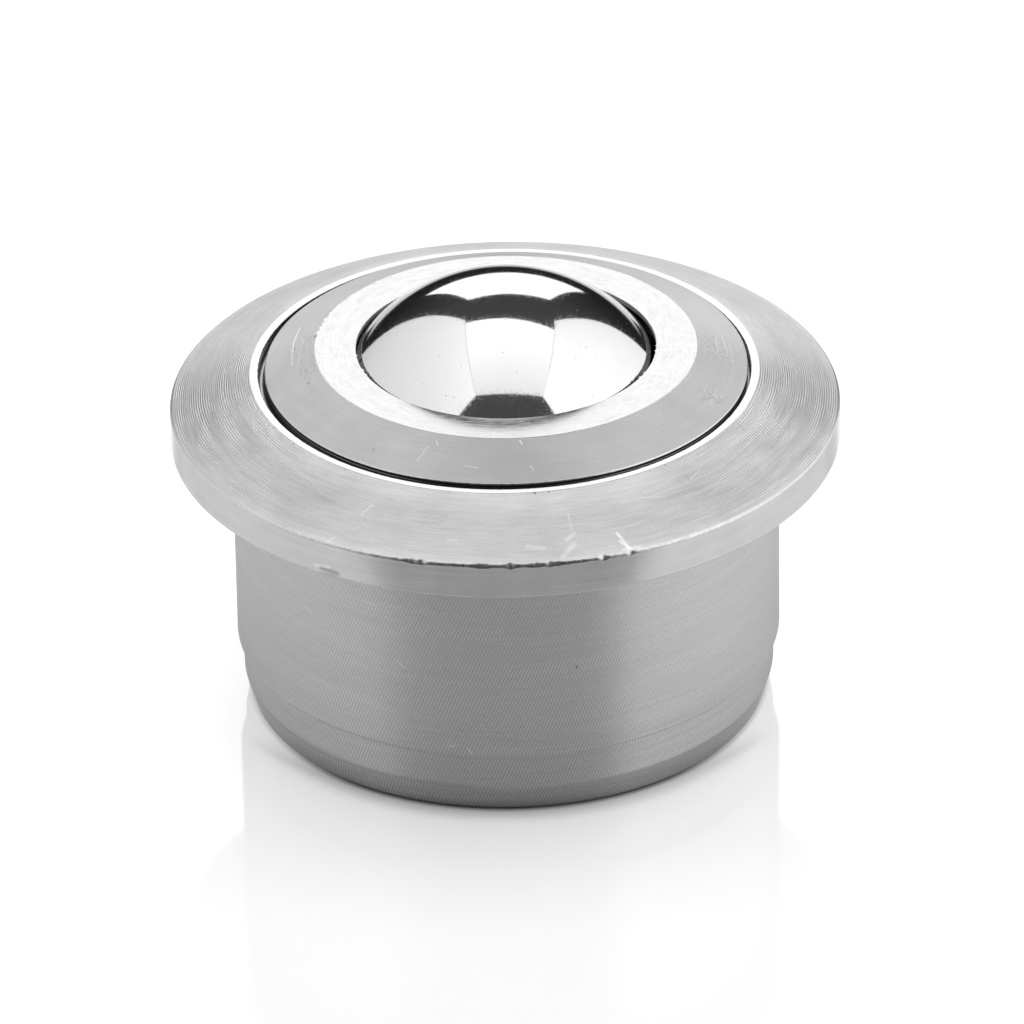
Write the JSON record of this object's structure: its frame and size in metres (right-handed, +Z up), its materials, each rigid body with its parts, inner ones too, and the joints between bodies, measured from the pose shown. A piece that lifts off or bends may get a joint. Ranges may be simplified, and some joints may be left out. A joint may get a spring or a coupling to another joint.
{
  "type": "ball transfer unit",
  "caption": "Flanged ball transfer unit: one large ball stands out of a turned steel housing and rolls in any direction on a bed of small balls under a retaining cap.",
  "frame": {"origin": "centre of the flat base, on the housing's axis", "axes": "+Z up the housing's axis towards the load ball; X and Y lie in the base"},
  "size_m": [0.055, 0.055, 0.037],
  "materials": {
    "turned_stainless": "satin, fine turning marks",
    "ground_stainless": "satin cone, ground flat face",
    "hardened_steel": "smooth",
    "spring_wire": "drawn wire",
    "felt": "dense felt",
    "polished_ball": "mirror polish",
    "bearing_balls": "polished"
  },
  "bodies": {
    "housing": {"housing": "turned_stainless", "load_cup": "hardened_steel", "retaining_cap": "ground_stainless", "dust_seal": "felt", "snap_ring": "spring_wire"},
    "ball_bed": {"support_ball_bottom": "bearing_balls", "support_balls_row_1": "bearing_balls", "support_balls_row_2": "bearing_balls", "support_balls_row_3": "bearing_balls", "support_balls_row_4": "bearing_balls", "support_balls_row_5": "bearing_balls", "support_balls_row_6": "bearing_balls", "support_balls_row_7": "bearing_balls"},
    "load_ball": {"load_ball": "polished_ball"}
  },
  "joints": [
    {"name": "bed_swivel", "type": "hinge", "parent": "housing", "child": "ball_bed", "pos_m": [0, 0, 0.022], "axis": [0, 0, 1], "continuous": true},
    {"name": "ball_roll", "type": "hinge", "parent": "ball_bed", "child": "load_ball", "pos_m": [0, 0, 0.022], "axis": [1, 0, 0], "continuous": true}
  ]
}
